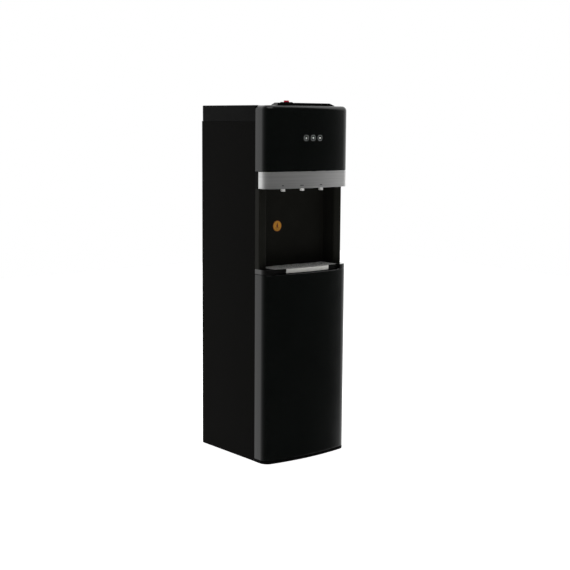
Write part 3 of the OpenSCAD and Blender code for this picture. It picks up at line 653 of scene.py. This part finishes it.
class DISPENSER_OT_upper_panel(MakesPiece, bpy.types.Operator):
    """Upper front panel with a rounded top edge and a window for the keys"""

    bl_idname = "dispenser.upper_panel"
    bl_label = "Upper front panel"

    RIM = 17.2 * MM
    HALF_WINDOW = 109.2 * MM
    FOOT_EDGE = 0.6 * MM

    def execute(self, context):
        node = "upper_front_panel"
        bottom, top = low(node).z, high(node).z
        back = high(node).y
        rim, window = self.RIM, self.HALF_WINDOW
        section = shell_section(bottom, top, rim, self.sizes, self.FOOT_EDGE, self.sizes.panel_edge)
        bm = swept_section(self.plan, section, back)
        outline = self.plan.points(rim, back)
        for side in (-1, 1):
            edge = [(x, y) for x, y in outline if side * x >= window]
            edge = edge if side > 0 else edge[::-1]
            inside = [point for point in outline if side * point[0] < window]
            meet = max(inside, key=lambda point: side * point[0])
            first = edge[0]
            share = (window - side * meet[0]) / (side * first[0] - side * meet[0])
            corner = (side * window, meet[1] + share * (first[1] - meet[1]))
            loop = [corner] + edge + [(side * window, back)]
            add_prism(bm, loop, top - self.sizes.wall, top)
        claim(new_piece("upper_front_panel_shell", bm, self.material(node)), node)
        return {"FINISHED"}


def add_prism(bm, loop, z_low, z_high):
    """Adds an upright prism with a polygon plan."""
    bottom = [bm.verts.new((x, y, z_low)) for x, y in loop]
    top = [bm.verts.new((x, y, z_high)) for x, y in loop]
    bm.faces.new(bottom[::-1])
    bm.faces.new(top)
    count = len(loop)
    for i in range(count):
        bm.faces.new((bottom[i], bottom[(i + 1) % count], top[(i + 1) % count], top[i]))


class DISPENSER_OT_band(MakesPiece, bpy.types.Operator):
    """Brushed silver band with softened edges"""

    bl_idname = "dispenser.band"
    bl_label = "Silver band"

    def execute(self, context):
        node = "silver_band"
        bottom, top = low(node).z, high(node).z
        edge = self.sizes.band_edge
        thick = 1.4 * MM
        turn = quarter_turn(self.sizes.smooth_steps)
        section = rounded_face(bottom, top, edge, edge, turn) + [(thick, top), (thick, bottom)]
        bm = swept_section(self.plan, section, high(node).y)
        claim(new_piece("silver_band_skin", bm, self.material(node)), node)
        return {"FINISHED"}


class DISPENSER_OT_door(MakesPiece, bpy.types.Operator):
    """Outer skin of the door with rounded edges and a rounded hinge stile"""

    bl_idname = "dispenser.door"
    bl_label = "Door skin"

    RETURN = 15.5 * MM
    PLATE = 7.5 * MM
    PLATE_INSET = 0.4 * MM

    def execute(self, context):
        node = "door_skin"
        bottom, top = low(node).z, high(node).z
        hinge = next(j for j in frame["joints"] if j["name"] == "door_hinge")
        hinge_x, hinge_y, _ = hinge["pos_m"]
        stile_r = HALF_W - hinge_x
        back = high(node).y
        edge, wall = self.sizes.door_edge, self.sizes.wall
        section = shell_section(bottom, top, self.RETURN, self.sizes, edge, edge, self.RETURN)
        bm = swept_section(self.plan, section, back)
        for vertex in bm.verts:
            if vertex.co.x > 0 and abs(vertex.co.y - back) < SAME_PLACE:
                vertex.co.y = hinge_y
        quarter = quarter_turn(12)
        outer = arc(stile_r, quarter, (hinge_x, hinge_y))
        inner = arc(stile_r - wall, quarter, (hinge_x, hinge_y))
        add_prism(bm, outer + inner[::-1], bottom + edge, top - edge)
        plate_x = hinge_x - self.PLATE
        plate = [(plate_x, hinge_y), *outer, (plate_x, back)]
        add_prism(bm, plate, bottom + self.PLATE_INSET, bottom + wall)
        add_prism(bm, plate, top - wall, top - self.PLATE_INSET)
        claim(new_piece("door_outer_skin", bm, self.material(node)), node)
        return {"FINISHED"}


class DISPENSER_OT_mouldings(MakesPiece, bpy.types.Operator):
    """Softens the edges of the moulded and folded pieces that show"""

    bl_idname = "dispenser.mouldings"
    bl_label = "Moulded and folded pieces"

    EDGES = {
        "side_panel_left": 0.45,
        "side_panel_right": 0.45,
        "top_cover": 1.1,
        "base_pan": 1.0,
        "spout_housing": 0.4,
        "alcove_housing": 0.6,
        "ledge_frame": 1.0,
        "drip_tray": 0.6,
        "tray_strip": 0.3,
        "key_hot": 0.9,
        "key_room": 0.9,
        "key_cold": 0.9,
        "child_lock": 0.9,
        "spouts": 0.5,
        "door_liner": 0.4,
        "door_magnet": 0.3,
        "rear_panel_lower": 0.2,
        "rear_panel_upper": 0.2,
        "rear_fittings": 0.4,
        "heat_switch": 0.4,
        "cool_switch": 0.4,
        "drain_cap": 0.8,
        "probe_cap": 0.8,
        "probe_clip": 0.5,
        "feet": 0.5,
        "control_box": 1.5,
        "pump": 1.5,
    }

    def execute(self, context):
        gloss = gloss_moulding("Gloss trim moulding", self.colours.trim, 0.1, 0.03, 0.4)
        glossy = ("key_hot", "key_room", "key_cold", "ledge_frame", "drip_tray")
        for node, width in self.EDGES.items():
            rounded_copy(node, gloss if node in glossy else self.material(node), width * MM)
        return {"FINISHED"}


class DISPENSER_OT_grille(MakesPiece, bpy.types.Operator):
    """Slotted stainless grille with softened edges"""

    bl_idname = "dispenser.grille"
    bl_label = "Drip grille"

    def execute(self, context):
        rounded_copy("drip_grille", self.material("drip_grille"), 0.35 * MM)
        return {"FINISHED"}


class DISPENSER_OT_label(MakesPiece, bpy.types.Operator):
    """Round hot-water label with a drop on the back wall of the alcove"""

    bl_idname = "dispenser.label"
    bl_label = "Hot-water label"

    X = -49.7 * MM
    ABOVE_LEDGE = 117 * MM
    PRINT_BASE = 0.25 * MM
    PRINT_TOP = 0.4 * MM
    PRINT_BACK = 0.2 * MM

    def execute(self, context):
        centre = Vector((self.X, ALCOVE_BACK_Y, high("ledge_frame").z + self.ABOVE_LEDGE))
        radius = self.sizes.label_radius
        disc = bmesh.new()
        add_flat(disc, arc(radius, turns(48)), centre, self.PRINT_BASE, 0.0)
        amber = gloss_moulding("Label amber", self.colours.label, 0.35, 0.02, 0.4)
        add_print("hot_water_label_disc", disc, amber)
        marks = bmesh.new()
        proud, back = self.PRINT_TOP, self.PRINT_BACK
        add_flat(marks, drop_outline(0.50 * radius, (0, 0.22 * radius)), centre, proud, back)
        for i in range(3):
            half = (0.5 - 0.1 * i) * radius
            foot = -0.36 * radius - i * 0.19 * radius
            add_flat(marks, oblong(-half, half, foot, foot + 0.07 * radius), centre, proud, back)
        add_ring(marks, centre, 0.9 * radius, radius, proud, back)
        brown = gloss_moulding("Label print", (0.12, 0.022, 0.004), 0.4, 0.02, 0.4)
        add_print("hot_water_label_print", marks, brown)
        return {"FINISHED"}


def add_print(name, bm, material):
    """A thin printed piece that stays with the cabinet."""
    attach(new_piece(name, bm, material), "cabinet")


def turns(count):
    return [2 * math.pi * i / count for i in range(count)]


def arc(radius, angles, centre=(0, 0)):
    """Points of an arc at these angles."""
    return [(centre[0] + radius * math.cos(a), centre[1] + radius * math.sin(a)) for a in angles]


def oblong(left, right, foot, head):
    """Outline of an upright rectangle."""
    return [(left, foot), (right, foot), (right, head), (left, head)]


def turned(outline, angle):
    """The outline turned about its origin."""
    across, up = math.cos(angle), math.sin(angle)
    return [(x * across - z * up, x * up + z * across) for x, z in outline]


def drop_outline(size, centre, steps=24):
    """Outline of a water drop, point up."""
    points = []
    for a in turns(steps):
        pinch = 0.5 * (1 - math.cos(a))
        x = size * 0.62 * math.sin(a) * pinch
        points.append((centre[0] + x, centre[1] + size * math.cos(a)))
    return points


def add_flat(bm, outline, centre, proud, back):
    """A thin plate on a wall that faces the front, from an outline across the wall."""
    front = [bm.verts.new((centre.x + x, centre.y - proud, centre.z + z)) for x, z in outline]
    rear = [bm.verts.new((centre.x + x, centre.y - back, centre.z + z)) for x, z in outline]
    bm.faces.new(front)
    bm.faces.new(rear[::-1])
    count = len(outline)
    for i in range(count):
        bm.faces.new((front[i], rear[i], rear[(i + 1) % count], front[(i + 1) % count]))


def add_ring(bm, centre, inner, outer, proud, back, steps=48):
    """A thin flat ring on a wall that faces the front."""
    rows = []
    for radius, depth in ((outer, proud), (inner, proud), (inner, back), (outer, back)):
        circle = arc(radius, turns(steps), (centre.x, centre.z))
        rows.append([bm.verts.new((x, centre.y - depth, z)) for x, z in circle])
    for row, following in zip(rows, rows[1:] + rows[:1]):
        for i in range(steps):
            after = (i + 1) % steps
            bm.faces.new((row[i], row[after], following[after], following[i]))


class DISPENSER_OT_symbols(MakesPiece, bpy.types.Operator):
    """Rings and plain symbols of the indicator lights, and small marks over the spouts"""

    bl_idname = "dispenser.symbols"
    bl_label = "Symbols"

    RING_TOP = 0.05 * MM
    SYMBOL_TOP = 0.06 * MM
    PRINT_BACK = -0.5 * MM
    MARK_BACK = -0.7 * MM
    MARK_HALF_HEIGHT = 1.3 * MM
    MARK_ABOVE_EDGE = 9 * MM
    MARKS = ((-102 * MM, 3 * MM), (-36 * MM, 6 * MM), (36 * MM, 4.5 * MM))

    def execute(self, context):
        node = "indicator_lenses"
        middle_z = (low(node).z + high(node).z) / 2
        lens_r = (high(node).z - low(node).z) / 2
        left, right = low(node).x + lens_r, high(node).x - lens_r
        rings = bmesh.new()
        symbols = bmesh.new()
        for i, x in enumerate((left, (left + right) / 2, right)):
            centre = Vector((x, 0, middle_z))
            add_ring(rings, centre, 0.87 * lens_r, 0.97 * lens_r, self.RING_TOP, self.PRINT_BACK, 32)
            self.add_symbol(symbols, i, centre, self.sizes.symbol_height)
        self.follow_front(rings)
        self.follow_front(symbols)
        grey = gloss_moulding("Ring print", (0.32, 0.34, 0.34), 0.3, 0.02, 0.4)
        white = gloss_moulding("Lit symbol", (0.80, 0.85, 0.85), 0.4, 0.02, 0.3, 1.1)
        add_print("indicator_rings", rings, grey)
        add_print("indicator_symbols", symbols, white)
        self.add_tap_marks()
        return {"FINISHED"}

    def add_tap_marks(self):
        """Three short printed marks near the lower edge of the band, the middle one the widest."""
        marks = bmesh.new()
        mark_z = low("silver_band").z + self.MARK_ABOVE_EDGE
        for x, half in self.MARKS:
            centre = Vector((x, 0, mark_z))
            for i in range(3):
                left = -half + i * 2 * half / 3
                bar = oblong(left, left + 0.55 * half, -self.MARK_HALF_HEIGHT, self.MARK_HALF_HEIGHT)
                add_flat(marks, bar, centre, self.RING_TOP, self.MARK_BACK)
        self.follow_front(marks)
        dark = gloss_moulding("Mark print", (0.01, 0.01, 0.01), 0.5, 0.02, 0.3)
        add_print("tap_marks", marks, dark)

    def follow_front(self, bm):
        """Sets flat work back onto the bowed front."""
        r = self.sizes.bow_radius
        for vertex in bm.verts:
            vertex.co.y += FRONT_Y + r - math.sqrt(r * r - vertex.co.x**2)

    def add_symbol(self, bm, index, centre, height):
        """A drop, a sun or a snowflake."""
        proud, back = self.SYMBOL_TOP, self.PRINT_BACK
        if index == 0:
            add_flat(bm, drop_outline(height / 2, (0, 0)), centre, proud, back)
        elif index == 1:
            add_ring(bm, centre, 0.26 * height, 0.36 * height, proud, back, 24)
            ray = oblong(-0.05 * height, 0.05 * height, 0.4 * height, 0.6 * height)
            for turn in range(4):
                add_flat(bm, turned(ray, turn * math.pi / 2), centre, proud, back)
        else:
            arm = oblong(-0.055 * height, 0.055 * height, -0.5 * height, 0.5 * height)
            for turn in range(3):
                add_flat(bm, turned(arm, turn * math.pi / 3), centre, proud + turn * 0.01 * MM, back)


class DISPENSER_OT_finishes(MakesPiece, bpy.types.Operator):
    """Gives every CAD node that stays visible its finish"""

    bl_idname = "dispenser.finishes"
    bl_label = "Finishes of the frame"

    def execute(self, context):
        for name, piece in NODES.items():
            piece.data.materials.clear()
            piece.data.materials.append(finish(SLOT_OF[name], self.colours))
            smooth(piece, 30)
        return {"FINISHED"}


class DISPENSER_OT_studio(MakesPiece, bpy.types.Operator):
    """Pale floor, a soft box overhead, the glow of the room and the camera"""

    bl_idname = "dispenser.studio"
    bl_label = "Studio"

    FLOOR_HALF = 4.0
    FLOOR_GLOW = 0.75
    GLOW_IN_FRONT = 0.045
    GLOW_BEHIND = 2.8
    GLOW_SCREEN = 1.5
    GLOW_SEEN = 1.0
    SCREEN_FROM = math.radians(61.5)
    SCREEN_TO = math.radians(130)

    def execute(self, context):
        scene = context.scene
        scene.view_settings.view_transform = "Standard"
        self.camera(scene)
        self.floor()
        self.soft_box("Top box", place=(-0.4, -0.9, 3.0), aim=(0, 0, 0.3), size=2.0, power=30)
        self.air(scene)
        return {"FINISHED"}

    def air(self, scene):
        """A pale room: white behind the object, dim in front, and a bright screen at its right."""
        world = bpy.data.worlds.new("Studio air")
        scene.world = world
        world.use_nodes = True
        room = Room(world)
        ahead, side = room.direction()
        behind = (ahead * 0.5 + 0.5).power(4.2)
        near, far = self.SCREEN_FROM, self.SCREEN_TO
        screen = room.range(side * math.cos(near) + ahead * math.sin(near), 0.0, 0.06, 0.0, 1.0)
        screen = screen * room.range(side * -math.cos(far) - ahead * math.sin(far), 0.0, 0.3, 0.0, 1.0)
        air = room.blend(behind, room.glow(self.GLOW_IN_FRONT), room.glow(self.GLOW_BEHIND))
        air = room.blend(screen, air, room.glow(self.GLOW_SCREEN))
        room.finish(room.blend(room.seen_by_camera(), air, room.glow(self.GLOW_SEEN)))

    @staticmethod
    def camera(scene):
        yaw, pitch, roll = math.radians(39.19), math.radians(7.97), math.radians(0.42)
        eye = Vector((-2.2161, -2.7636, 0.9992))
        ahead = Vector((math.sin(yaw) * math.cos(pitch), math.cos(yaw) * math.cos(pitch), -math.sin(pitch)))
        right = Vector((math.cos(yaw), -math.sin(yaw), 0))
        up = right.cross(ahead)
        turned_right = right * math.cos(roll) + up * math.sin(roll)
        turned_up = up * math.cos(roll) - right * math.sin(roll)
        data = bpy.data.cameras.new("Camera")
        data.sensor_width = 36
        data.lens = 74.2
        camera = bpy.data.objects.new("Camera", data)
        matrix = Matrix((turned_right, turned_up, -ahead)).transposed().to_4x4()
        matrix.translation = eye
        camera.matrix_world = matrix
        scene.collection.objects.link(camera)
        scene.camera = camera

    def floor(self):
        bm = bmesh.new()
        bmesh.ops.create_grid(bm, x_segments=1, y_segments=1, size=self.FLOOR_HALF)
        shader = Shader(
            "Pale floor", Roughness=0.9, Specular_IOR_Level=0.1, Emission_Strength=self.FLOOR_GLOW
        )
        shader.surface.inputs["Emission Color"].default_value = (1, 1, 1, 1)
        mottle = shader.noise(3.0, 3.0, 0.5)
        shader.link("Base Color", shader.mix(mottle, rgba((0.86, 0.86, 0.86)), rgba((0.9, 0.9, 0.9))))
        floor = new_piece("Studio_floor", bm, shader.material)
        floor.visible_glossy = False

    @staticmethod
    def soft_box(name, place, aim, size, power):
        light = bpy.data.lights.new(name, "AREA")
        light.shape = "RECTANGLE"
        light.size = light.size_y = size
        light.energy = power
        box = bpy.data.objects.new(name, light)
        box.location = place
        direction = Vector(aim) - Vector(place)
        box.rotation_euler = direction.to_track_quat("-Z", "Y").to_euler()
        bpy.context.scene.collection.objects.link(box)


class DISPENSER_PT_panel(bpy.types.Panel):
    """Lists the steps that build the dispenser"""

    bl_label = "Dispenser"
    bl_idname = "DISPENSER_PT_panel"
    bl_space_type = "VIEW_3D"
    bl_region_type = "UI"
    bl_category = "Dispenser"

    def draw(self, context):
        for operator in OPERATORS:
            self.layout.operator(operator.bl_idname)
        for group in (context.scene.dispenser_sizes, context.scene.dispenser_colours):
            box = self.layout.box()
            for name in group.__annotations__:
                box.prop(group, name)


OPERATORS = (
    DISPENSER_OT_studio,
    DISPENSER_OT_finishes,
    DISPENSER_OT_upper_panel,
    DISPENSER_OT_band,
    DISPENSER_OT_door,
    DISPENSER_OT_mouldings,
    DISPENSER_OT_grille,
    DISPENSER_OT_label,
    DISPENSER_OT_symbols,
)
CLASSES = (DispenserSizes, DispenserColours, *OPERATORS, DISPENSER_PT_panel)


def register():
    for cls in CLASSES:
        bpy.utils.register_class(cls)
    bpy.types.Scene.dispenser_sizes = PointerProperty(type=DispenserSizes)
    bpy.types.Scene.dispenser_colours = PointerProperty(type=DispenserColours)


def unregister():
    del bpy.types.Scene.dispenser_sizes
    del bpy.types.Scene.dispenser_colours
    for cls in reversed(CLASSES):
        bpy.utils.unregister_class(cls)


def run(operator):
    group, name = operator.bl_idname.split(".")
    getattr(getattr(bpy.ops, group), name)()


def main():
    register()
    for operator in OPERATORS:
        run(operator)


if __name__ == "__main__":
    main()
